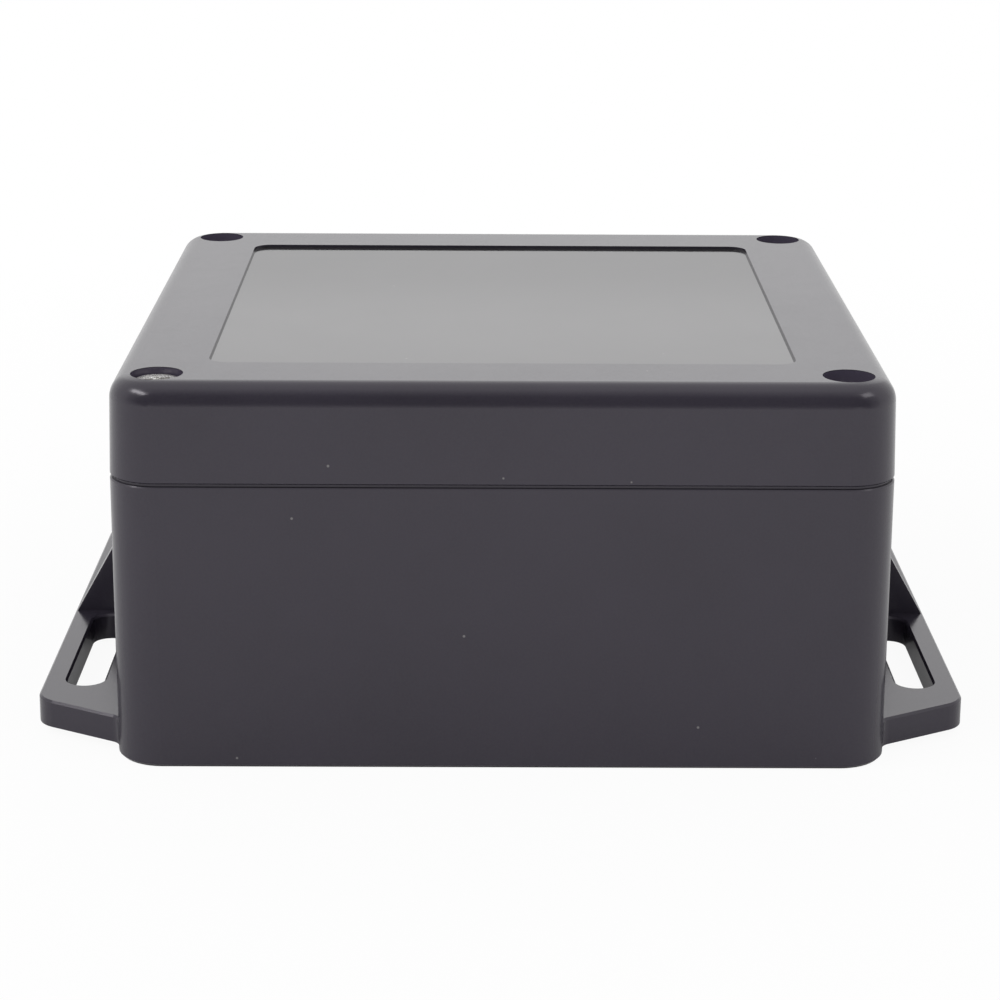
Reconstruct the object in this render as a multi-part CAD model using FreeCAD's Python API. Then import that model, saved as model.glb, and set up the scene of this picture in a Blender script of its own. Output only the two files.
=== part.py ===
import FreeCAD, Part
import math
import os

# Sealed plastic project box: a square moulded base with a mounting flange on each side,
# a screwed-down lid with a sunk label panel, a gasket, four screws and four brass inserts.
# Lengths are in millimetres. The origin is the middle of the flat underside, +Z is up,
# the flanges stick out along X and the front looks along -Y.

# Overall body, measured at the joint between base and lid
BOX_WIDTH = 120.0
BOX_DEPTH = 120.0
BOX_HEIGHT = 61.0
LID_HEIGHT = 15.9
CORNER_RADIUS = 7.5
WALL = 3.0
FLOOR_THICKNESS = 3.0
BASE_DRAFT_DEG = 0.1
BASE_FOOT_CHAMFER = 0.5
BASE_RIM_CHAMFER = 0.2
FLOOR_CORNER_CHAMFER = 1.2

# Corner columns that take the lid screws, outside the sealed space
SCREW_INSET = 7.5
COLUMN_REACH = 6.5
COLUMN_ROUND = 5.0
JUNCTION_ROUND = 2.5

# Sealing tongue on the base rim and groove in the lid
TONGUE_INSET = 1.8
TONGUE_HEIGHT = 2.2
GROOVE_SIDE_CLEARANCE = 0.3
GROOVE_INNER_CLEARANCE = 0.5
LIP_THICKNESS = 1.5
GASKET_HEIGHT = 2.0
GASKET_SIDE_CLEARANCE = 0.1

# Lid
LID_DRAFT_DEG = 1.2
LID_TOP_ROUND = 3.5
LID_EDGE_CHAMFER = 0.2
LID_PANEL_THICKNESS = 2.7
SHADOW_GAP_HEIGHT = 0.5
SHADOW_GAP_DEPTH = 0.5
LABEL_MARGIN_X = 14.5
LABEL_MARGIN_Y = 14.5
LABEL_SINK = 0.5
LABEL_CORNER_RADIUS = 3.0

# Lid screws, M4 with a cheese head and a cross recess
SCREW_DIAMETER = 4.0
THREAD_ENGAGEMENT = 6.1
HEAD_DIAMETER = 7.0
HEAD_HEIGHT = 2.6
HEAD_EDGE_CHAMFER = 0.3
HEAD_SINK = 3.2
HEAD_CLEARANCE = 0.5
SHANK_CLEARANCE = 0.3
RECESS_SPAN = 4.2
RECESS_ARM_WIDTH = 1.1
RECESS_DEPTH = 1.5
RECESS_TAPER = 0.55
SCREW_TIP_CHAMFER = 0.5
RECESS_FLARE = 1.3
LOOSE_SCREW_LIFT = 2.3
SCREW_TURNS_DEG = (20, 55, 0, 35)

# Threaded brass inserts in the corner columns
INSERT_DIAMETER = 6.0
INSERT_LENGTH = 8.0
INSERT_SINK = 0.2
THREAD_CLEARANCE = 0.05
HOLE_RELIEF = 1.5

# Mounting flanges, one on each side, a little above the underside
FLANGE_RISE = 1.4
FLANGE_REACH = 13.85
FLANGE_THICKNESS = 4.4
FLANGE_ROOT_INSET = 6.7
FLANGE_END_ANGLE_DEG = 30.0
FLANGE_CORNER_RADIUS = 5.0
FLANGE_BLEND_RADIUS = 2.5
FLANGE_EDGE_CHAMFER = 0.35
SLOT_OUTSET = 7.25
SLOT_WIDTH = 6.0
SLOT_RIB_GAP = 2.0
SLOT_END_INSET = 20.5
RIB_WIDTH = 6.0
RIB_HEIGHT = 30.0

# Inside of the base: circuit board standoffs on the floor, card guides on the side walls
STANDOFF_INSET = 22.0
STANDOFF_DIAMETER = 7.0
STANDOFF_HEIGHT = 6.0
STANDOFF_ROOT_ROUND = 0.8
PILOT_DIAMETER = 2.9
PILOT_DEPTH = 7.0
GUIDE_PITCH = 24.0
GUIDE_PAIRS = 3
GUIDE_GAP = 1.9
GUIDE_RIB_THICKNESS = 1.2
GUIDE_RIB_REACH = 2.0
GUIDE_TOP_DROP = 4.0

OVERCUT = 1.0
FLAT_TOLERANCE = 0.0001
CORNERS = ((-1, -1), (1, -1), (1, 1), (-1, 1))
CORNER_NAMES = ("front_left", "front_right", "rear_right", "rear_left")
SIDES = (-1, 1)
UP = FreeCAD.Vector(0, 0, 1)

# Sizes and places that follow from the values above
half_width = BOX_WIDTH / 2
half_depth = BOX_DEPTH / 2
joint_height = BOX_HEIGHT - LID_HEIGHT
groove_outer_inset = TONGUE_INSET - GROOVE_SIDE_CLEARANCE
groove_inner_inset = WALL + GROOVE_INNER_CLEARANCE
lip_inset = groove_inner_inset + LIP_THICKNESS
gasket_bottom = joint_height + TONGUE_HEIGHT
groove_roof = gasket_bottom + GASKET_HEIGHT
lid_ceiling = BOX_HEIGHT - LABEL_SINK - LID_PANEL_THICKNESS
head_top = BOX_HEIGHT - HEAD_SINK
head_seat = head_top - HEAD_HEIGHT
insert_top = joint_height - INSERT_SINK
insert_bottom = insert_top - INSERT_LENGTH
shank_tip = insert_top - THREAD_ENGAGEMENT
shank_bore_diameter = SCREW_DIAMETER + 2 * SHANK_CLEARANCE
head_pocket_diameter = HEAD_DIAMETER + 2 * HEAD_CLEARANCE
base_shrink = joint_height * math.tan(math.radians(BASE_DRAFT_DEG))
foot_half_x = half_width - base_shrink
foot_half_y = half_depth - base_shrink
flange_top = FLANGE_RISE + FLANGE_THICKNESS
flange_outer = half_width + FLANGE_REACH
flange_end_slope = math.tan(math.radians(FLANGE_END_ANGLE_DEG))
flange_half_edge = half_depth - FLANGE_ROOT_INSET - FLANGE_REACH * flange_end_slope


def vec(x, y, z):
    return FreeCAD.Vector(x, y, z)


def rounded_outline(corners, height):
    """A closed wire at one height. Each corner is (x, y, radius), inward or outward."""
    points = [vec(x, y, height) for x, y, _ in corners]
    edges = []
    starts = []
    ends = []
    for index, point in enumerate(points):
        radius = corners[index][2]
        before = (points[index - 1] - point).normalize()
        after = (points[(index + 1) % len(points)] - point).normalize()
        half_angle = before.getAngle(after) / 2
        reach = radius / math.tan(half_angle)
        bisector = (before + after).normalize()
        middle = point + bisector * (radius / math.sin(half_angle) - radius)
        starts.append(point + before * reach)
        ends.append(point + after * reach)
        edges.append(Part.Arc(starts[-1], middle, ends[-1]).toShape())
    for index, end in enumerate(ends):
        following = starts[(index + 1) % len(starts)]
        edges.append(Part.LineSegment(end, following).toShape())
    return Part.Wire(Part.sortEdges(edges)[0])


def prism(corners, bottom, top):
    """An upright solid from a rounded outline."""
    face = Part.Face(rounded_outline(corners, bottom))
    return face.extrude(vec(0, 0, top - bottom))


def rectangle(half_x, half_y, radius):
    return [(sx * half_x, sy * half_y, radius) for sx, sy in CORNERS]


def upright_cylinder(x, y, bottom, top, diameter):
    return Part.makeCylinder(diameter / 2, top - bottom, vec(x, y, bottom), UP)


def screw_axis(corner):
    sx, sy = corner
    return sx * (half_width - SCREW_INSET), sy * (half_depth - SCREW_INSET)


def tapered_block(bottom, top, bottom_halves, top_halves):
    """A block with four drafted sides, from two rectangles at two heights."""
    low = [vec(sx * bottom_halves[0], sy * bottom_halves[1], bottom) for sx, sy in CORNERS]
    high = [vec(sx * top_halves[0], sy * top_halves[1], top) for sx, sy in CORNERS]
    loops = [low[::-1], high]
    for index in range(4):
        nxt = (index + 1) % 4
        loops.append([low[index], low[nxt], high[nxt], high[index]])
    faces = [Part.Face(Part.makePolygon(loop + [loop[0]])) for loop in loops]
    return Part.Solid(Part.Shell(faces))


def corner_edges(solid):
    """The edges that run from the bottom to the top of a tapered block."""
    found = []
    for edge in solid.Edges:
        ends = [vertex.Point.z for vertex in edge.Vertexes]
        if abs(ends[0] - ends[-1]) > OVERCUT:
            found.append(edge)
    return found


def edges_at(solid, height):
    """The edges that lie flat at one height."""
    found = []
    for edge in solid.Edges:
        box = edge.BoundBox
        if abs(box.ZMin - height) < FLAT_TOLERANCE and abs(box.ZMax - height) < FLAT_TOLERANCE:
            found.append(edge)
    return found


def seal_path(inset):
    """The inside of the wall, this far in from the outer face, stepping round the columns."""
    half_x = half_width - inset
    half_y = half_depth - inset
    spread = WALL - inset
    notch_x = half_width - SCREW_INSET - COLUMN_REACH + spread
    notch_y = half_depth - SCREW_INSET - COLUMN_REACH + spread
    outer_round = JUNCTION_ROUND + spread
    inner_round = COLUMN_ROUND - spread
    corners = []
    for index, (sx, sy) in enumerate(CORNERS):
        step = [
            (sx * half_x, sy * notch_y, outer_round),
            (sx * notch_x, sy * notch_y, inner_round),
            (sx * notch_x, sy * half_y, outer_round),
        ]
        if index % 2:
            step.reverse()
        corners.extend(step)
    return corners


def seal_band(outer_inset, inner_inset, bottom, top):
    """A ring of even width that follows the wall and steps round the columns."""
    outside = prism(seal_path(outer_inset), bottom, top)
    inside = prism(seal_path(inner_inset), bottom - OVERCUT, top + OVERCUT)
    return outside.cut(inside)


def base_shell():
    foot = (foot_half_x, foot_half_y)
    body = tapered_block(0, joint_height, foot, (half_width, half_depth))
    body = body.makeFillet(CORNER_RADIUS, corner_edges(body))
    body = body.makeChamfer(BASE_FOOT_CHAMFER, edges_at(body, 0))
    return body.makeChamfer(BASE_RIM_CHAMFER, edges_at(body, joint_height))


def flange_blend(side, end):
    """The hollow corner between a flange's angled end and the box's rounded corner."""
    angle = math.radians(FLANGE_END_ANGLE_DEG)
    tip = vec(flange_outer, flange_half_edge, 0)
    along = vec(-math.cos(angle), math.sin(angle), 0)
    outward = vec(math.sin(angle), math.cos(angle), 0)
    hub = vec(foot_half_x - CORNER_RADIUS, foot_half_y - CORNER_RADIUS, 0)
    start = tip + outward * FLANGE_BLEND_RADIUS - hub
    reach = CORNER_RADIUS + FLANGE_BLEND_RADIUS
    travel = -start.dot(along) - math.sqrt(start.dot(along) ** 2 - start.dot(start) + reach ** 2)
    centre = hub + start + along * travel
    on_end = centre - outward * FLANGE_BLEND_RADIUS
    on_box = hub + (centre - hub) * (CORNER_RADIUS / reach)
    towards = ((on_end - centre) + (on_box - centre)).normalize()
    middle = centre + towards * FLANGE_BLEND_RADIUS
    in_plate = on_end - outward * FLANGE_BLEND_RADIUS
    placed = [vec(side * p.x, end * p.y, FLANGE_RISE) for p in (on_box, middle, on_end, in_plate, hub)]
    edges = [Part.Arc(placed[0], placed[1], placed[2]).toShape()]
    for first, second in ((2, 3), (3, 4), (4, 0)):
        edges.append(Part.LineSegment(placed[first], placed[second]).toShape())
    return Part.Face(Part.Wire(edges)).extrude(vec(0, 0, FLANGE_THICKNESS))


def flange_plate(side):
    """A slotted plate with angled ends; its inner edge is buried in the side wall."""
    inner = half_width - WALL / 2
    half_root = flange_half_edge + (flange_outer - inner) * flange_end_slope
    corners = [
        (side * inner, -half_root, FLANGE_EDGE_CHAMFER),
        (side * flange_outer, -flange_half_edge, FLANGE_CORNER_RADIUS),
        (side * flange_outer, flange_half_edge, FLANGE_CORNER_RADIUS),
        (side * inner, half_root, FLANGE_EDGE_CHAMFER),
    ]
    plate = prism(corners, FLANGE_RISE, flange_top)
    for end in SIDES:
        plate = plate.fuse(flange_blend(side, end))
        plate = plate.cut(slot_cutter(side, end))
    plate = plate.removeSplitter()
    outline = [edge for edge in edges_at(plate, flange_top) if outside_box(edge)]
    return plate.makeChamfer(FLANGE_EDGE_CHAMFER, outline)


def outside_box(edge):
    """True for an edge whose middle lies outside the box's foot."""
    middle = edge.valueAt((edge.FirstParameter + edge.LastParameter) / 2)
    past_x = max(abs(middle.x) - foot_half_x + CORNER_RADIUS, 0)
    past_y = max(abs(middle.y) - foot_half_y + CORNER_RADIUS, 0)
    return math.hypot(past_x, past_y) > CORNER_RADIUS


def flange_rib(side):
    """The sloped web in the middle of a flange, from its outer edge up the side wall."""
    toe = flange_outer - FLANGE_EDGE_CHAMFER
    root = half_width - WALL / 2
    slope = (RIB_HEIGHT - flange_top) / (toe - half_width)
    rise = (toe - root) * slope
    buried = FLANGE_RISE + FLANGE_THICKNESS / 2
    profile = [
        vec(side * toe, -RIB_WIDTH / 2, flange_top),
        vec(side * root, -RIB_WIDTH / 2, flange_top + rise),
        vec(side * root, -RIB_WIDTH / 2, buried),
        vec(side * toe, -RIB_WIDTH / 2, buried),
    ]
    face = Part.Face(Part.makePolygon(profile + [profile[0]]))
    return face.extrude(vec(0, RIB_WIDTH, 0))


def slot_cutter(side, end):
    """A straight slot with round ends, in one half of a flange."""
    x = side * (half_width + SLOT_OUTSET)
    radius = SLOT_WIDTH / 2
    near = RIB_WIDTH / 2 + SLOT_RIB_GAP + radius
    far = half_depth - SLOT_END_INSET - radius
    front, rear = sorted((end * near, end * far))
    bottom = FLANGE_RISE - OVERCUT
    edges = [
        Part.LineSegment(vec(x + radius, front, bottom), vec(x + radius, rear, bottom)).toShape(),
        Part.Arc(vec(x + radius, rear, bottom), vec(x, rear + radius, bottom),
                 vec(x - radius, rear, bottom)).toShape(),
        Part.LineSegment(vec(x - radius, rear, bottom), vec(x - radius, front, bottom)).toShape(),
        Part.Arc(vec(x - radius, front, bottom), vec(x, front - radius, bottom),
                 vec(x + radius, front, bottom)).toShape(),
    ]
    return Part.Face(Part.Wire(edges)).extrude(vec(0, 0, FLANGE_THICKNESS + 2 * OVERCUT))


def cavity():
    """The sealed space of the base, bevelled where the walls meet the floor."""
    space = prism(seal_path(WALL), FLOOR_THICKNESS, joint_height + OVERCUT)
    return space.makeChamfer(FLOOR_CORNER_CHAMFER, edges_at(space, FLOOR_THICKNESS))


def standoff(corner):
    sx, sy = corner
    x = sx * (half_width - STANDOFF_INSET)
    y = sy * (half_depth - STANDOFF_INSET)
    top = FLOOR_THICKNESS + STANDOFF_HEIGHT
    radius = STANDOFF_DIAMETER / 2
    root = radius + STANDOFF_ROOT_ROUND
    root_top = FLOOR_THICKNESS + STANDOFF_ROOT_ROUND
    profile = [
        vec(0, 0, FLOOR_THICKNESS / 2),
        vec(root, 0, FLOOR_THICKNESS / 2),
        vec(root, 0, FLOOR_THICKNESS),
        vec(radius, 0, root_top),
        vec(radius, 0, top),
        vec(0, 0, top),
    ]
    post = Part.Face(Part.makePolygon(profile + [profile[0]]))
    post = post.revolve(vec(0, 0, 0), UP, 360)
    post.translate(vec(x, y, 0))
    pilot = upright_cylinder(x, y, top - PILOT_DEPTH, top + OVERCUT, PILOT_DIAMETER)
    return post, pilot


def guide_rib(side, y):
    """One upright rib of a card guide on a side wall."""
    wall_face = half_width - WALL
    depth = GUIDE_RIB_REACH + WALL / 2
    x = side * (wall_face + WALL / 2) - (depth if side > 0 else 0)
    bottom = FLOOR_THICKNESS / 2
    height = joint_height - GUIDE_TOP_DROP - bottom
    return Part.makeBox(depth, GUIDE_RIB_THICKNESS, height, vec(x, y, bottom))


def card_guides():
    ribs = []
    for side in SIDES:
        for pair in range(GUIDE_PAIRS):
            middle = (pair - (GUIDE_PAIRS - 1) / 2) * GUIDE_PITCH
            ribs.append(guide_rib(side, middle + GUIDE_GAP / 2))
            ribs.append(guide_rib(side, middle - GUIDE_GAP / 2 - GUIDE_RIB_THICKNESS))
    return ribs


def insert_hole(corner):
    """The moulded hole for an insert, with room below it for the screw's tip."""
    x, y = screw_axis(corner)
    seat = upright_cylinder(x, y, insert_bottom, joint_height + OVERCUT, INSERT_DIAMETER)
    relief = upright_cylinder(x, y, insert_bottom - HOLE_RELIEF, insert_bottom + OVERCUT,
                              shank_bore_diameter)
    return seat.fuse(relief)


def make_base():
    base = base_shell()
    for side in SIDES:
        base = base.fuse(flange_plate(side))
        base = base.fuse(flange_rib(side))
    base = base.cut(cavity())
    tongue = seal_band(TONGUE_INSET, WALL, joint_height - OVERCUT, gasket_bottom)
    base = base.fuse(tongue)
    for rib in card_guides():
        base = base.fuse(rib)
    for corner in CORNERS:
        post, pilot = standoff(corner)
        base = base.fuse(post).cut(pilot).cut(insert_hole(corner))
    return base.removeSplitter()


def lid_shell():
    """The outer form of the lid, above the shadow gap."""
    bottom = joint_height + SHADOW_GAP_HEIGHT
    shrink = (BOX_HEIGHT - bottom) * math.tan(math.radians(LID_DRAFT_DEG))
    top_halves = (half_width - shrink, half_depth - shrink)
    shell = tapered_block(bottom, BOX_HEIGHT, (half_width, half_depth), top_halves)
    shell = shell.makeFillet(CORNER_RADIUS, corner_edges(shell))
    shell = shell.makeFillet(LID_TOP_ROUND, edges_at(shell, BOX_HEIGHT))
    return shell.makeChamfer(LID_EDGE_CHAMFER, edges_at(shell, bottom))


def lid_seat():
    """The part of the lid inside the shadow gap, which comes down onto the base."""
    half_x = half_width - SHADOW_GAP_DEPTH
    half_y = half_depth - SHADOW_GAP_DEPTH
    outline = rectangle(half_x, half_y, CORNER_RADIUS - SHADOW_GAP_DEPTH)
    return prism(outline, joint_height, lid_ceiling)


def make_lid():
    lid = lid_shell().fuse(lid_seat())
    lid = lid.cut(prism(seal_path(lip_inset), joint_height - OVERCUT, lid_ceiling))
    lid = lid.cut(seal_band(groove_outer_inset, groove_inner_inset,
                            joint_height - OVERCUT, groove_roof))
    label = rectangle(half_width - LABEL_MARGIN_X, half_depth - LABEL_MARGIN_Y, LABEL_CORNER_RADIUS)
    lid = lid.cut(prism(label, BOX_HEIGHT - LABEL_SINK, BOX_HEIGHT + OVERCUT))
    for corner in CORNERS:
        x, y = screw_axis(corner)
        pocket = upright_cylinder(x, y, head_seat, BOX_HEIGHT + OVERCUT, head_pocket_diameter)
        bore = upright_cylinder(x, y, joint_height - OVERCUT, BOX_HEIGHT, shank_bore_diameter)
        lid = lid.cut(pocket).cut(bore)
    return lid.removeSplitter()


def make_gasket():
    return seal_band(groove_outer_inset + GASKET_SIDE_CLEARANCE,
                     groove_inner_inset - GASKET_SIDE_CLEARANCE,
                     gasket_bottom, groove_roof)


def recess_arm(angle_deg):
    """One tapered arm of the cross recess, in the screw's own frame with its head top at 0."""
    half_span = RECESS_SPAN / 2
    half_arm = RECESS_ARM_WIDTH / 2
    arm = tapered_block(-RECESS_DEPTH, OVERCUT,
                        (half_span * RECESS_TAPER, half_arm * RECESS_TAPER),
                        (half_span * RECESS_FLARE, half_arm * RECESS_FLARE))
    arm.rotate(vec(0, 0, 0), UP, angle_deg)
    return arm


def make_screw(corner, lift, turn_deg):
    """A cheese-head screw whose head top lies at height 0 until it is moved to its corner."""
    head = upright_cylinder(0, 0, -HEAD_HEIGHT, 0, HEAD_DIAMETER)
    head = head.makeChamfer(HEAD_EDGE_CHAMFER, edges_at(head, 0))
    shank_end = shank_tip - head_top
    shank = upright_cylinder(0, 0, shank_end, -HEAD_HEIGHT / 2, SCREW_DIAMETER)
    shank = shank.makeChamfer(SCREW_TIP_CHAMFER, edges_at(shank, shank_end))
    screw = head.fuse(shank)
    screw = screw.cut(recess_arm(turn_deg)).cut(recess_arm(turn_deg + 90))
    x, y = screw_axis(corner)
    screw.translate(vec(x, y, head_top + lift))
    return screw.removeSplitter()


def make_insert(corner):
    """A brass bush, pressed into its hole until it lies just below the rim."""
    x, y = screw_axis(corner)
    bush = upright_cylinder(x, y, insert_bottom, insert_top, INSERT_DIAMETER)
    bore = SCREW_DIAMETER + 2 * THREAD_CLEARANCE
    return bush.cut(upright_cylinder(x, y, insert_bottom - OVERCUT, insert_top + OVERCUT, bore))


def save(shape, name):
    shape.exportStep("parts/" + name + ".step")
    print(name, "solids", len(shape.Solids), "valid", shape.isValid(), "volume", round(shape.Volume, 1))


os.makedirs("parts", exist_ok=True)
save(make_base(), "base")
save(make_lid(), "lid")
save(make_gasket(), "gasket")
for number, place in enumerate(CORNERS):
    loose = CORNER_NAMES[number] == "front_left"
    lift_now = LOOSE_SCREW_LIFT if loose else 0
    screw_node = make_screw(place, lift_now, SCREW_TURNS_DEG[number])
    save(screw_node, "lid_screw_" + CORNER_NAMES[number])
    save(make_insert(place), "insert_" + CORNER_NAMES[number])
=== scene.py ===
import bmesh
import bpy
import math
from mathutils import Matrix, Vector


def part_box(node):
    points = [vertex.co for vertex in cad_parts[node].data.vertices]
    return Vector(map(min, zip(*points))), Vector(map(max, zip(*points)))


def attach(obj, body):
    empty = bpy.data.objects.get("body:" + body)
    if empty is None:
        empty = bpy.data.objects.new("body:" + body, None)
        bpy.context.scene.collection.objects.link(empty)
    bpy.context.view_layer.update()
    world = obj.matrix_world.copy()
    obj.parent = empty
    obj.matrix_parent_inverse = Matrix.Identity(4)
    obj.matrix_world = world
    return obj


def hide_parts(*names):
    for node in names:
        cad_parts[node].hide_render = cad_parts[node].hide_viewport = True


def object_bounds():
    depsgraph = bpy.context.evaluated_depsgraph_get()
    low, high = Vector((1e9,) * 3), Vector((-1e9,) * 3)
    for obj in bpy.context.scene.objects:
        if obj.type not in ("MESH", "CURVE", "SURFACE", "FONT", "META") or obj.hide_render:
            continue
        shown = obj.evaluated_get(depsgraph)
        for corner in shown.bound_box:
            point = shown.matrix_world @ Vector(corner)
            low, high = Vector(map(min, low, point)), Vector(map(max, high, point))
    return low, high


# A dark moulded project box with a screwed-down lid, on a white table under soft studio light.
# Lengths are in metres. The two mouldings are the frame's own solids with a grained plastic
# finish. The screws, the threaded inserts and the gasket are finer pieces made here, which
# replace the plain solids.

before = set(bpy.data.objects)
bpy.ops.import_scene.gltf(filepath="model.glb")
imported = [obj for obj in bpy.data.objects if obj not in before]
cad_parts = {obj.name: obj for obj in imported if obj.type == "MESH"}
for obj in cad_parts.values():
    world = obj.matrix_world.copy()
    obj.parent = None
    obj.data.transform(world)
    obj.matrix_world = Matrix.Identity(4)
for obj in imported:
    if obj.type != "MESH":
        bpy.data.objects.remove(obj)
cad_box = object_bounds()

MM = 0.001
CORNERS = ("front_left", "front_right", "rear_right", "rear_left")

# Camera, fitted to the photograph: place, then turn down, right and anticlockwise
CAMERA_PLACE = (-0.00280, -0.45208, 0.16201)
CAMERA_PITCH = 0.2570
CAMERA_YAW = 0.0059
CAMERA_ROLL = 0.0055
CAMERA_LENS = 97.86
CAMERA_RISE = -0.1
SENSOR_WIDTH = 36.0
CAMERA_CLIP = (0.01, 50.0)

# Studio: what the surfaces and the reflections get. The camera sees white. The ranges are of
# the direction that a ray takes, towards the front and to either side.
WORLD_LEVEL = 0.65
STUDIO_LEVEL = 1.06
STUDIO_DIM_LEVEL = 0.14
STUDIO_DIM_FROM = 0.1
STUDIO_DIM_TO = 0.7
STUDIO_SIDE_SHARE = 0.9
STUDIO_SIDE_TO = 0.4

# Lamps: place, size and power in watts
LAMP_AIM = (0, 0, 0.03)
LAMPS = {
    "back_softbox": ((0.0, 1.1, 0.6), (1.3, 0.6), 0.8),
    "left_softbox": ((-0.62, -0.36, 0.8), (0.6, 0.22), 3.2),
    "right_softbox": ((0.62, -0.36, 0.8), (0.4, 0.3), 1.0),
}

# Table: its own colour, then how it runs into white away from the middle, as the camera and
# as the reflections see it. It lies a hair below the box, so that the two don't flicker.
FLOOR_REACH = 6.0
FLOOR_DROP = 0.02 * MM
FLOOR_LEVEL = 0.86
FLOOR_ROUGHNESS = 0.7
FLOOR_WHITE_NEAR = 0.94
FLOOR_WHITE_FROM = 0.10
FLOOR_WHITE_TO = 0.34
FLOOR_GLOSS_NEAR = 0.1
FLOOR_GLOSS_FROM = 0.08
FLOOR_GLOSS_TO = 0.24

# Noise is spread over these values. Each kind of noise has cells per metre, detail, roughness.
NOISE_LOW = 0.3
NOISE_STAIN_LOW = 0.35
NOISE_HIGH = 0.7
NOISE_RUB_HIGH = 0.75
BUMP_DISTANCE = 0.02 * MM

# Moulded plastic
PLASTIC_LEVEL = 0.028
PLASTIC_SPREAD = (0.92, 1.08)
PLASTIC_TINT = (1.0, 0.86, 1.28)
PLASTIC_SHEEN_TINT = (1.0, 0.96, 1.015, 1.0)
PLASTIC_ROUGHNESS = (0.19, 0.22)
PLASTIC_SPECKLE = (-0.02, 0.03)
PLASTIC_BUMP = 0.12
CLOUDS = (38.0, 4.0, 0.6)
GRAIN = (2600.0, 3.0, 0.65)
GRAIN_LEVEL = 2
GRAIN_LIGHT_SHARE = 0.12
PITS = (900.0, 2.0, 0.5)
PIT_SHARE = 0.6
RUBS = (95.0, 5.0, 0.7)

# Dust specks: the radius is a share of a cell, from where a speck starts to fade to its edge
DUST_SCALE = 130.0
DUST_RADIUS = (0.02, 0.032)
DUST_LEVEL = 0.3
DUST_TINT = (1.0, 0.98, 0.95)
DUST_SHARE = 0.5

# Sunk label panel on the lid, which is smoother and more neutral than the rest
LABEL_HALF_X = 45.5 * MM
LABEL_HALF_Y = 45.5 * MM
LABEL_SINK = 0.5 * MM
LABEL_EDGE = 0.1 * MM
PANEL_SPREAD = (0.95, 1.05)
PANEL_TINT = (1.0, 0.96, 1.04)
PANEL_GRAIN_SHARE = 0.1
PANEL_SMOOTHER = 0.11

# Screw pockets in the lid's corners. Their walls and floor get painted light: a plastic colour
# lighter than the rest, which brightens them where they lie in shade.
SCREW_OUT = 52.5 * MM
POCKET_RADIUS = 4.02 * MM
POCKET_FADE = 0.05 * MM
POCKET_PAINTED_LIGHT_LEVEL = 0.07
POCKET_PAINTED_LIGHT_SPREAD = 1.2

# Steel: level and tint where it is clean and where it is dull. The rings are turning marks.
STEEL_CLEAN = (0.74, (1.0, 0.99, 0.97))
STEEL_DULL = (0.56, (1.0, 0.98, 0.95))
STEEL_DIRT = (420.0, 3.0, 0.6)
STEEL_SCRATCHES = (2600.0, 4.0, 0.7)
STEEL_RINGS = 42000.0
STEEL_RING_SHARE = 0.25
STEEL_ROUGHNESS = (0.14, 0.38)
STEEL_BUMP = 0.8

# Brass
BRASS_CLEAN = (0.78, 0.57, 0.25, 1.0)
BRASS_DULL = (0.56, 0.39, 0.18, 1.0)
BRASS_STAINS = (500.0, 4.0, 0.6)
BRASS_SCRATCHES = (2400.0, 4.0, 0.7)
BRASS_ROUGHNESS = (0.24, 0.42)
BRASS_BUMP = 0.2

# Rubber
RUBBER_LEVELS = (0.028, 0.05)
RUBBER_BLOOM = (160.0, 4.0, 0.6)
RUBBER_GRAIN = (3200.0, 3.0, 0.6)
RUBBER_ROUGHNESS = (0.66, 0.82)
RUBBER_BUMP = 0.3

# Screw: M4 with a cheese head, as in the frame
HEAD_SIDES = 64
HEAD_RADIUS = 3.5 * MM
HEAD_HEIGHT = 2.6 * MM
HEAD_CENTRE = 0.4 * MM
HEAD_TOP_ROUND = 0.45 * MM
HEAD_TOP_STEPS = 6
HEAD_FOOT_ROUND = 0.15 * MM
HEAD_FOOT_STEPS = 3
THREAD_SIDES = 32
THREAD_ROWS_PER_TURN = 8
THREAD_RADIUS = 2.0 * MM
THREAD_PITCH = 0.7 * MM
THREAD_DEPTH = 0.4 * MM
THREAD_STEEPNESS = 1.25
THREAD_CREST = 0.12
THREAD_RUN_OUT = 1.2 * MM
THREAD_INTO_HEAD = 0.6 * MM
THREAD_TIP = 0.5 * MM
RECESS_REACH = 2.1 * MM
RECESS_WIDTH = 1.0 * MM
RECESS_DEPTH = 1.7 * MM
RECESS_ROWS = ((0.3 * MM, 1.1), (0.0, 1.0), (-0.75 * RECESS_DEPTH, 0.62), (-RECESS_DEPTH, 0.3))
RECESS_TAPER = 0.55
SCREW_CREASE = 32
SCREW_TURNS = {"front_left": 20, "front_right": 55, "rear_right": 0, "rear_left": 35}

# Threaded insert: the bands are shares of its length
INSERT_SIDES = 96
INSERT_ROWS = 40
INSERT_ROWS_PER_TURN = 6
INSERT_RADIUS = 3.0 * MM
INSERT_BORE = 2.05 * MM
INSERT_MOUTH = 0.35 * MM
INSERT_GROOVE = 0.25 * MM
INSERT_CREASE = 38
KNURL_DEPTH = 0.22 * MM
KNURL_COUNT = 24
KNURL_RISE = 1.0 * MM
PLAIN_BAND = 0.08
PLAIN_DEPTH = 0.1 * MM
WAIST_BAND = (0.44, 0.56)
WAIST_DEPTH = 0.35 * MM

# Gasket, which follows the groove in the lid and steps inwards round each corner column
GASKET_WIDTH = 1.8 * MM
GASKET_ROUND = 0.55 * MM
GASKET_ROUND_STEPS = 4
GASKET_NOTCH = 46.0 * MM
GASKET_NOTCH_SHIFT = 0.5 * MM
GASKET_OUTER_BEND = 3.0 * MM
GASKET_INNER_BEND = 4.5 * MM
GASKET_BEND_DEGREES = 9
GASKET_CREASE = 40


def link(name, data):
    piece = bpy.data.objects.new(name, data)
    bpy.context.scene.collection.objects.link(piece)
    return piece


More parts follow.
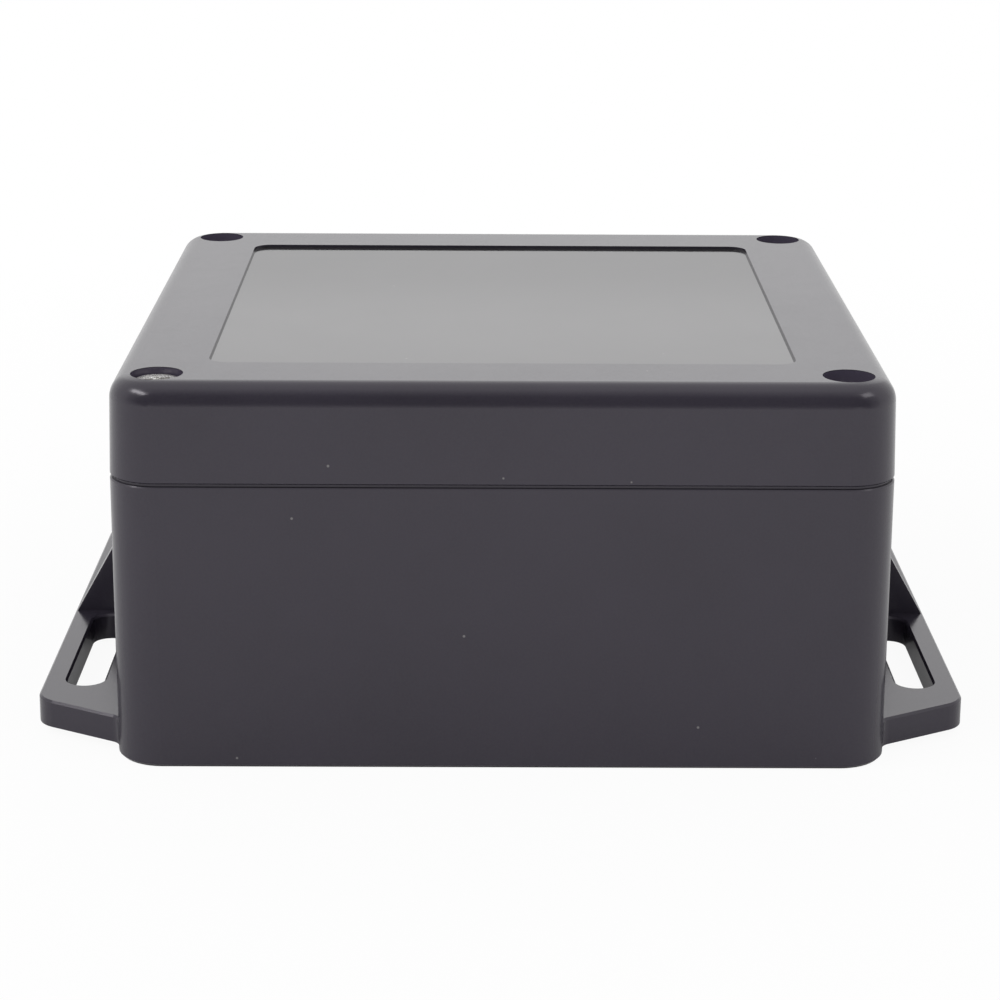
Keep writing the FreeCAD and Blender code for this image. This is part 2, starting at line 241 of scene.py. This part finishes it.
def mesh_from(name, points, faces):
    mesh = bpy.data.meshes.new(name)
    mesh.from_pydata(points, [], faces)
    work = bmesh.new()
    work.from_mesh(mesh)
    bmesh.ops.recalc_face_normals(work, faces=work.faces)
    work.to_mesh(mesh)
    work.free()
    return mesh


def smooth(mesh, degrees):
    """Smooth shading, with a crisp edge wherever two faces meet at more than this angle."""
    mesh.shade_smooth()
    mesh.set_sharp_from_angle(angle=math.radians(degrees))


def tube_mesh(name, rings, closed):
    """A skin over rings of points. An open tube is capped at both ends."""
    count = len(rings[0])
    points = [point for ring in rings for point in ring]
    faces = []
    spans = len(rings) if closed else len(rings) - 1
    for row in range(spans):
        here = row * count
        there = (row + 1) % len(rings) * count
        for column in range(count):
            after = (column + 1) % count
            faces.append((here + column, here + after, there + after, there + column))
    if not closed:
        faces.append(tuple(range(count)))
        faces.append(tuple(range(len(points) - count, len(points))))
    return mesh_from(name, points, faces)


def ring_at(radius_of, height, steps):
    """Points round the Z axis; radius_of gives the radius at an angle."""
    points = []
    for step in range(steps):
        angle = 2 * math.pi * step / steps
        radius = radius_of(angle)
        points.append((radius * math.cos(angle), radius * math.sin(angle), height))
    return points


def thread_wave(angle, height):
    """0 at a thread's crest and 1 at its root, which are a little flat, on a right-hand helix."""
    turn = (height / THREAD_PITCH - angle / (2 * math.pi)) % 1.0
    slope = abs(2 * turn - 1)
    return min(1.0, max(0.0, THREAD_STEEPNESS * slope - THREAD_CREST))


def boolean(target, tool, operation):
    """Applies one boolean to a mesh and gives the new mesh."""
    first = link("boolean_target", target)
    second = link("boolean_tool", tool)
    modifier = first.modifiers.new("cut", "BOOLEAN")
    modifier.operation = operation
    modifier.solver = "EXACT"
    modifier.object = second
    graph = bpy.context.evaluated_depsgraph_get()
    result = bpy.data.meshes.new_from_object(first.evaluated_get(graph))
    bpy.data.objects.remove(first)
    bpy.data.objects.remove(second)
    return result


def head_mesh():
    """The screw's head, turned from a profile, with its top at height 0."""
    profile = [(HEAD_CENTRE, 0.0)]
    for step in range(HEAD_TOP_STEPS + 1):
        angle = math.radians(90 - 90 / HEAD_TOP_STEPS * step)
        profile.append((HEAD_RADIUS - HEAD_TOP_ROUND * (1 - math.cos(angle)),
                        -HEAD_TOP_ROUND * (1 - math.sin(angle))))
    for step in range(HEAD_FOOT_STEPS + 1):
        angle = math.radians(-90 / HEAD_FOOT_STEPS * step)
        profile.append((HEAD_RADIUS - HEAD_FOOT_ROUND * (1 - math.cos(angle)),
                        -HEAD_HEIGHT + HEAD_FOOT_ROUND * (1 + math.sin(angle))))
    rings = [ring_at(lambda angle, r=radius: r, height, HEAD_SIDES)
             for radius, height in profile]
    return tube_mesh("screw_head", rings, False)


def thread_mesh(length):
    """The threaded shank below the head, down to a pointed start of the thread."""
    rings = []
    top = -HEAD_HEIGHT + THREAD_INTO_HEAD
    bottom = -length
    rows = int((top - bottom) / (THREAD_PITCH / THREAD_ROWS_PER_TURN))
    for row in range(rows + 1):
        height = top + (bottom - top) * row / rows
        from_head = -HEAD_HEIGHT - height
        grown = min(1.0, max(0.0, from_head / THREAD_RUN_OUT))
        from_tip = height - bottom
        taper = max(0.0, THREAD_TIP - from_tip)

        def radius_of(angle, height=height, grown=grown, taper=taper):
            cut = THREAD_DEPTH * thread_wave(angle, height) * grown
            return min(THREAD_RADIUS - cut, THREAD_RADIUS - taper)

        rings.append(ring_at(radius_of, height, THREAD_SIDES))
    return tube_mesh("screw_thread", rings, False)


def recess_mesh():
    """The cross recess as a solid: two crossing wedges that narrow downwards."""
    arms = []
    for turn in (0, 90):
        rings = []
        for height, scale in RECESS_ROWS:
            half = RECESS_REACH * scale
            side = RECESS_WIDTH / 2 * (1 - RECESS_TAPER + RECESS_TAPER * scale)
            ring = [(-half, -side), (half, -side), (half, side), (-half, side)]
            spin = Matrix.Rotation(math.radians(turn), 2)
            rings.append([(*(spin @ Vector(point)), height) for point in ring])
        arms.append(tube_mesh("recess_arm", rings, False))
    return boolean(arms[0], arms[1], "UNION")


def screw_mesh(length):
    body = boolean(head_mesh(), thread_mesh(length), "UNION")
    body = boolean(body, recess_mesh(), "DIFFERENCE")
    smooth(body, SCREW_CREASE)
    return body


def insert_mesh(length):
    """A brass bush with two knurled bands outside and a thread inside, top at height 0."""
    outer = []
    for row in range(INSERT_ROWS + 1):
        height = -length * row / INSERT_ROWS
        share = row / INSERT_ROWS
        waist = WAIST_DEPTH if WAIST_BAND[0] < share < WAIST_BAND[1] else 0.0
        plain = PLAIN_DEPTH if share < PLAIN_BAND or share > 1 - PLAIN_BAND else 0.0

        def radius_of(angle, height=height, waist=waist, plain=plain):
            if waist or plain:
                return INSERT_RADIUS - waist - plain
            left = math.sin(KNURL_COUNT / 2 * angle + math.pi * height / KNURL_RISE)
            right = math.sin(KNURL_COUNT / 2 * angle - math.pi * height / KNURL_RISE)
            return INSERT_RADIUS - KNURL_DEPTH * (1 - min(abs(left), abs(right)))

        outer.append(ring_at(radius_of, height, INSERT_SIDES))
    inner = []
    inner_rows = int(length / (THREAD_PITCH / INSERT_ROWS_PER_TURN))
    for row in range(inner_rows + 1):
        height = -length + length * row / inner_rows

        def bore_of(angle, height=height):
            mouth = max(0.0, INSERT_MOUTH + height) + max(0.0, INSERT_MOUTH - length - height)
            groove = INSERT_GROOVE * (1 - thread_wave(angle, height))
            return INSERT_BORE + max(groove, mouth)

        inner.append(ring_at(bore_of, height, INSERT_SIDES))
    mesh = tube_mesh("insert", outer + inner, True)
    smooth(mesh, INSERT_CREASE)
    return mesh


def rounded_path(corners, step_degrees):
    """Points along a closed outline whose corners are (x, y, radius)."""
    path = []
    count = len(corners)
    for index, (x, y, radius) in enumerate(corners):
        point = Vector((x, y))
        before = (Vector(corners[index - 1][:2]) - point).normalized()
        after = (Vector(corners[(index + 1) % count][:2]) - point).normalized()
        half = before.angle(after) / 2
        centre = point + (before + after).normalized() * (radius / math.sin(half))
        start = point + before * (radius / math.tan(half)) - centre
        end = point + after * (radius / math.tan(half)) - centre
        sweep = start.angle_signed(end)
        steps = max(2, round(abs(math.degrees(sweep)) / step_degrees))
        for step in range(steps + 1):
            turned = Matrix.Rotation(-sweep * step / steps, 2) @ start
            path.append(centre + turned)
    return path


def gasket_mesh():
    """A closed ring of soft rubber with a rounded section, as tall as the frame's gasket."""
    low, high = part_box("gasket")
    half_width = GASKET_WIDTH / 2
    half_tall = (high.z - low.z) / 2
    middle_x = high.x - half_width
    middle_y = high.y - half_width
    notch = GASKET_NOTCH + GASKET_NOTCH_SHIFT
    corners = []
    for index, (sx, sy) in enumerate(((-1, -1), (1, -1), (1, 1), (-1, 1))):
        step = [
            (sx * middle_x, sy * notch, GASKET_OUTER_BEND),
            (sx * notch, sy * notch, GASKET_INNER_BEND),
            (sx * notch, sy * middle_y, GASKET_OUTER_BEND),
        ]
        if index % 2:
            step.reverse()
        corners.extend(step)
    path = rounded_path(corners, GASKET_BEND_DEGREES)
    section = []
    for centre_x, centre_z, first in ((1, 1, 0), (-1, 1, 90), (-1, -1, 180), (1, -1, 270)):
        for step in range(GASKET_ROUND_STEPS + 1):
            angle = math.radians(first + 90 / GASKET_ROUND_STEPS * step)
            across = centre_x * (half_width - GASKET_ROUND) + GASKET_ROUND * math.cos(angle)
            up = centre_z * (half_tall - GASKET_ROUND) + GASKET_ROUND * math.sin(angle)
            section.append((across, up))
    rings = []
    count = len(path)
    for index, point in enumerate(path):
        along = (path[(index + 1) % count] - path[index - 1]).normalized()
        side = Vector((along.y, -along.x))
        ring = []
        for across, up in section:
            place = point + side * across
            ring.append((place.x, place.y, (low.z + high.z) / 2 + up))
        rings.append(ring)
    mesh = tube_mesh("gasket", rings, True)
    smooth(mesh, GASKET_CREASE)
    return mesh


class Graph:
    """Short calls for making a node tree."""

    def __init__(self, tree):
        self.tree = tree

    def put(self, value, socket):
        """Links an output to a socket, or sets the socket to a plain value."""
        if isinstance(value, bpy.types.NodeSocket):
            self.tree.links.new(value, socket)
        else:
            socket.default_value = value

    def add(self, kind, inputs=None, **settings):
        made = self.tree.nodes.new(kind)
        for name, value in settings.items():
            setattr(made, name, value)
        for name, value in (inputs or {}).items():
            self.put(value, made.inputs[name])
        return made

    def math(self, operation, first, second=0.0):
        made = self.add("ShaderNodeMath", {0: first, 1: second}, operation=operation)
        return made.outputs[0]

    def noise(self, place, kind):
        scale, detail, roughness = kind
        made = self.add("ShaderNodeTexNoise", {"Vector": place, "Scale": scale, "Detail": detail,
                                               "Roughness": roughness})
        return made.outputs["Fac"]

    def spread(self, noise, low, high):
        return self.remap(noise, NOISE_LOW, NOISE_HIGH, low, high)

    def remap(self, value, from_low, from_high, to_low, to_high):
        made = self.add("ShaderNodeMapRange", {
            "Value": value, "From Min": from_low, "From Max": from_high,
            "To Min": to_low, "To Max": to_high})
        return made.outputs["Result"]

    def mix(self, factor, first, second):
        made = self.add("ShaderNodeMix", {0: factor, 6: first, 7: second}, data_type="RGBA")
        return made.outputs[2]

    def separate(self, vector):
        return self.add("ShaderNodeSeparateXYZ", {0: vector}).outputs

    def length(self, vector):
        made = self.add("ShaderNodeVectorMath", {0: vector}, operation="LENGTH")
        return made.outputs["Value"]

    def flat_length(self, x, y):
        return self.length(self.add("ShaderNodeCombineXYZ", {0: x, 1: y}).outputs[0])

    def mirrored_ray(self, path):
        return self.math("MAXIMUM", path.outputs["Is Glossy Ray"],
                         path.outputs["Is Transmission Ray"])


def new_material(name):
    material = bpy.data.materials.new(name)
    material.use_nodes = True
    graph = Graph(material.node_tree)
    surface = material.node_tree.nodes["Principled BSDF"]
    place = graph.add("ShaderNodeTexCoord").outputs["Object"]
    return material, graph, surface, place


def grey(level, tint=(1.0, 1.0, 1.0)):
    return (level * tint[0], level * tint[1], level * tint[2], 1.0)


def finish(graph, surface, colour, rough, height, strength, distance=BUMP_DISTANCE):
    """Puts a colour, a roughness and a bump on a material's surface."""
    graph.put(colour, surface.inputs["Base Color"])
    graph.put(rough, surface.inputs["Roughness"])
    bump = graph.add("ShaderNodeBump", {"Height": height, "Strength": strength,
                                        "Distance": distance})
    graph.put(bump.outputs[0], surface.inputs["Normal"])


def plastic(name, panel=False):
    """Moulded charcoal plastic: fine satin grain, faint clouding, rub marks and dust. On the lid,
    painted light brightens the screw pockets.
    """
    material, graph, surface, place = new_material(name)
    cloud = graph.noise(place, CLOUDS)
    grain = graph.noise(place, GRAIN)
    pits = graph.noise(place, PITS)
    dark = grey(PLASTIC_LEVEL * PLASTIC_SPREAD[0], PLASTIC_TINT)
    light = grey(PLASTIC_LEVEL * PLASTIC_SPREAD[1], PLASTIC_TINT)
    rubbed = graph.remap(graph.noise(place, RUBS), NOISE_LOW, NOISE_RUB_HIGH,
                         *PLASTIC_ROUGHNESS)
    height = graph.math("ADD", grain, graph.math("MULTIPLY", pits, PIT_SHARE))
    speckle = graph.spread(grain, *PLASTIC_SPECKLE)
    if panel:
        inside = label_area(graph, place)
        even = graph.remap(inside, 0.0, 1.0, 1.0, PANEL_GRAIN_SHARE)
        height = graph.math("MULTIPLY", height, even)
        speckle = graph.math("MULTIPLY", speckle, even)
        rubbed = graph.math("SUBTRACT", rubbed, graph.math("MULTIPLY", inside, PANEL_SMOOTHER))
        dark = graph.mix(inside, dark, grey(PLASTIC_LEVEL * PANEL_SPREAD[0], PANEL_TINT))
        light = graph.mix(inside, light, grey(PLASTIC_LEVEL * PANEL_SPREAD[1], PANEL_TINT))
        # Painted light: the screw pockets get a lighter colour, which brightens their shaded
        # walls.
        pocket_painted_light = pocket_painted_light_area(graph, place)
        dark = graph.mix(pocket_painted_light, dark, grey(POCKET_PAINTED_LIGHT_LEVEL, PLASTIC_TINT))
        light = graph.mix(pocket_painted_light, light, grey(POCKET_PAINTED_LIGHT_LEVEL * POCKET_PAINTED_LIGHT_SPREAD, PLASTIC_TINT))
    base = graph.mix(graph.spread(cloud, 0.0, 1.0), dark, light)
    base = graph.mix(graph.spread(grain, 0.0, GRAIN_LIGHT_SHARE), base,
                     grey(PLASTIC_LEVEL * GRAIN_LEVEL))
    motes = graph.add("ShaderNodeTexVoronoi", {"Vector": place, "Scale": DUST_SCALE})
    mote = graph.remap(motes.outputs["Distance"], *DUST_RADIUS, 1.0, 0.0)
    base = graph.mix(graph.math("MULTIPLY", mote, DUST_SHARE), base,
                     grey(DUST_LEVEL, DUST_TINT))
    finish(graph, surface, base, graph.math("ADD", rubbed, speckle), height, PLASTIC_BUMP)
    surface.inputs["Specular Tint"].default_value = PLASTIC_SHEEN_TINT
    return material


def label_area(graph, place):
    """1 on the floor of the lid's sunk panel, else 0."""
    x, y, z = graph.separate(place)
    floor = cad_box[1][2] - LABEL_SINK
    in_x, in_y = (graph.remap(graph.math("ABSOLUTE", side), half - LABEL_EDGE,
                              half + LABEL_EDGE, 1.0, 0.0)
                  for side, half in ((x, LABEL_HALF_X), (y, LABEL_HALF_Y)))
    off = graph.math("ABSOLUTE", graph.math("SUBTRACT", z, floor))
    level = graph.remap(off, LABEL_EDGE, 2 * LABEL_EDGE, 1.0, 0.0)
    return graph.math("MULTIPLY", graph.math("MULTIPLY", in_x, in_y), level)


def pocket_painted_light_area(graph, place):
    """1 inside the lid's screw pockets, where the painted light goes, else 0."""
    x, y, z = graph.separate(place)
    top = cad_box[1][2]
    across = graph.math("SUBTRACT", graph.math("ABSOLUTE", x), SCREW_OUT)
    along = graph.math("SUBTRACT", graph.math("ABSOLUTE", y), SCREW_OUT)
    inside = graph.remap(graph.flat_length(across, along), POCKET_RADIUS,
                         POCKET_RADIUS + POCKET_FADE, 1.0, 0.0)
    below = graph.remap(z, top - 3 * POCKET_FADE, top - POCKET_FADE, 1.0, 0.0)
    return graph.math("MULTIPLY", inside, below)


def steel(name):
    """Bright stainless steel with turning marks round the head and fine scratches."""
    material, graph, surface, place = new_material(name)
    x, y, _ = graph.separate(place)
    rings = graph.math("SINE", graph.math("MULTIPLY", graph.flat_length(x, y), STEEL_RINGS))
    scratch = graph.noise(place, STEEL_SCRATCHES)
    dirt = graph.noise(place, STEEL_DIRT)
    colour = graph.mix(graph.remap(dirt, NOISE_STAIN_LOW, NOISE_HIGH, 0.0, 1.0),
                       grey(*STEEL_CLEAN), grey(*STEEL_DULL))
    rough = graph.spread(scratch, *STEEL_ROUGHNESS)
    height = graph.math("ADD", graph.math("MULTIPLY", rings, STEEL_RING_SHARE), scratch)
    finish(graph, surface, colour, rough, height, STEEL_BUMP, 2 * BUMP_DISTANCE)
    surface.inputs["Metallic"].default_value = 1.0
    return material


def brass(name):
    """Turned brass with darker stains and fine scratches."""
    material, graph, surface, place = new_material(name)
    stain = graph.noise(place, BRASS_STAINS)
    scratch = graph.noise(place, BRASS_SCRATCHES)
    colour = graph.mix(graph.remap(stain, NOISE_STAIN_LOW, NOISE_HIGH, 0.0, 1.0),
                       BRASS_CLEAN, BRASS_DULL)
    rough = graph.spread(scratch, *BRASS_ROUGHNESS)
    finish(graph, surface, colour, rough, scratch, BRASS_BUMP)
    surface.inputs["Metallic"].default_value = 1.0
    return material


def rubber(name):
    """Soft matt black rubber with a faint bloom."""
    material, graph, surface, place = new_material(name)
    bloom = graph.noise(place, RUBBER_BLOOM)
    grain = graph.noise(place, RUBBER_GRAIN)
    dark, light = RUBBER_LEVELS
    colour = graph.mix(graph.spread(bloom, 0.0, 1.0), grey(dark), grey(light))
    finish(graph, surface, colour, graph.spread(bloom, *RUBBER_ROUGHNESS), grain, RUBBER_BUMP)
    return material


def dress(piece, material):
    piece.data.materials.clear()
    piece.data.materials.append(material)


def add_camera():
    data = bpy.data.cameras.new("camera")
    data.sensor_width = SENSOR_WIDTH
    data.lens = CAMERA_LENS
    data.shift_y = CAMERA_RISE
    data.clip_start, data.clip_end = CAMERA_CLIP
    camera = link("camera", data)
    turn = (Matrix.Rotation(-CAMERA_YAW, 4, "Z")
            @ Matrix.Rotation(math.pi / 2 - CAMERA_PITCH, 4, "X")
            @ Matrix.Rotation(CAMERA_ROLL, 4, "Z"))
    camera.matrix_world = Matrix.Translation(CAMERA_PLACE) @ turn
    bpy.context.scene.camera = camera


def add_lamp(name, place, size, power):
    data = bpy.data.lights.new(name, "AREA")
    data.shape = "RECTANGLE"
    data.size, data.size_y = size
    data.energy = power
    lamp = link(name, data)
    lamp.location = place
    lamp.rotation_euler = (Vector(LAMP_AIM) - Vector(place)).to_track_quat("-Z", "Y").to_euler()


def add_world():
    """White to the camera. Reflections see a studio that grows dim towards the front."""
    world = bpy.data.worlds.new("studio")
    bpy.context.scene.world = world
    world.use_nodes = True
    graph = Graph(world.node_tree)
    path = graph.add("ShaderNodeLightPath")
    x, y, _ = graph.separate(graph.add("ShaderNodeTexCoord").outputs["Generated"])
    front = graph.math("MULTIPLY", y, -1.0)
    seen = graph.remap(front, STUDIO_DIM_FROM, STUDIO_DIM_TO, STUDIO_LEVEL, STUDIO_DIM_LEVEL)
    aside = graph.remap(graph.math("ABSOLUTE", x), 0.0, STUDIO_SIDE_TO, 1.0, STUDIO_SIDE_SHARE)
    seen = graph.math("MULTIPLY", seen, aside)
    level = graph.mix(graph.mirrored_ray(path), grey(WORLD_LEVEL), seen)
    level = graph.mix(path.outputs["Is Camera Ray"], level, grey(1.0))
    graph.put(level, world.node_tree.nodes["Background"].inputs["Color"])


def add_floor():
    """A white table. It keeps the box's shadow close by and runs into white further off."""
    corners = [(x * FLOOR_REACH, y * FLOOR_REACH, 0)
               for x, y in ((-1, -1), (1, -1), (1, 1), (-1, 1))]
    floor = link("floor", mesh_from("floor", corners, [(0, 1, 2, 3)]))
    floor.location.z = -FLOOR_DROP
    material, graph, surface, place = new_material("table")
    surface.inputs["Base Color"].default_value = grey(FLOOR_LEVEL)
    surface.inputs["Roughness"].default_value = FLOOR_ROUGHNESS
    path = graph.add("ShaderNodeLightPath")
    away = graph.length(place)
    far = graph.remap(away, FLOOR_WHITE_FROM, FLOOR_WHITE_TO, FLOOR_WHITE_NEAR, 1.0)
    far_mirrored = graph.remap(away, FLOOR_GLOSS_FROM, FLOOR_GLOSS_TO, FLOOR_GLOSS_NEAR, 1.0)
    seen = graph.math("MAXIMUM", graph.math("MULTIPLY", path.outputs["Is Camera Ray"], far),
                      graph.math("MULTIPLY", graph.mirrored_ray(path), far_mirrored))
    white = graph.add("ShaderNodeEmission", {"Color": grey(1.0), "Strength": 1.0})
    mixed = graph.add("ShaderNodeMixShader", {0: seen, 1: surface.outputs[0],
                                              2: white.outputs[0]})
    output = material.node_tree.nodes["Material Output"]
    graph.put(mixed.outputs[0], output.inputs["Surface"])
    floor.data.materials.append(material)


def at_top_of(box):
    """The middle of a box's upper face."""
    low, high = box
    return ((low.x + high.x) / 2, (low.y + high.y) / 2, high.z)


bpy.context.scene.view_settings.view_transform = "Standard"
add_camera()
add_world()
add_floor()
for lamp_name, (lamp_place, lamp_size, lamp_power) in LAMPS.items():
    add_lamp(lamp_name, lamp_place, lamp_size, lamp_power)

dress(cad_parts["base"], plastic("base_plastic"))
dress(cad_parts["lid"], plastic("lid_plastic", panel=True))

bright = steel("screw_steel")
turned = brass("insert_brass")
first_low, first_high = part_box("lid_screw_front_right")
screw_shape = screw_mesh(first_high.z - first_low.z)
screw_shape.materials.append(bright)
insert_low, insert_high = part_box("insert_front_right")
insert_shape = insert_mesh(insert_high.z - insert_low.z)
insert_shape.materials.append(turned)
for corner in CORNERS:
    node = "lid_screw_" + corner
    screw = link("screw_" + corner, screw_shape)
    screw.location = at_top_of(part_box(node))
    screw.rotation_euler.z = math.radians(SCREW_TURNS[corner])
    bpy.context.view_layer.update()
    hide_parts(node)
    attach(screw, "screw_" + corner)
    node = "insert_" + corner
    insert = link("threaded_" + node, insert_shape)
    insert.location = at_top_of(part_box(node))
    bpy.context.view_layer.update()
    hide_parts(node)
    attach(insert, "base_body")

gasket = link("gasket_ring", gasket_mesh())
dress(gasket, rubber("gasket_rubber"))
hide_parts("gasket")
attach(gasket, "lid_body")

bpy.context.view_layer.update()
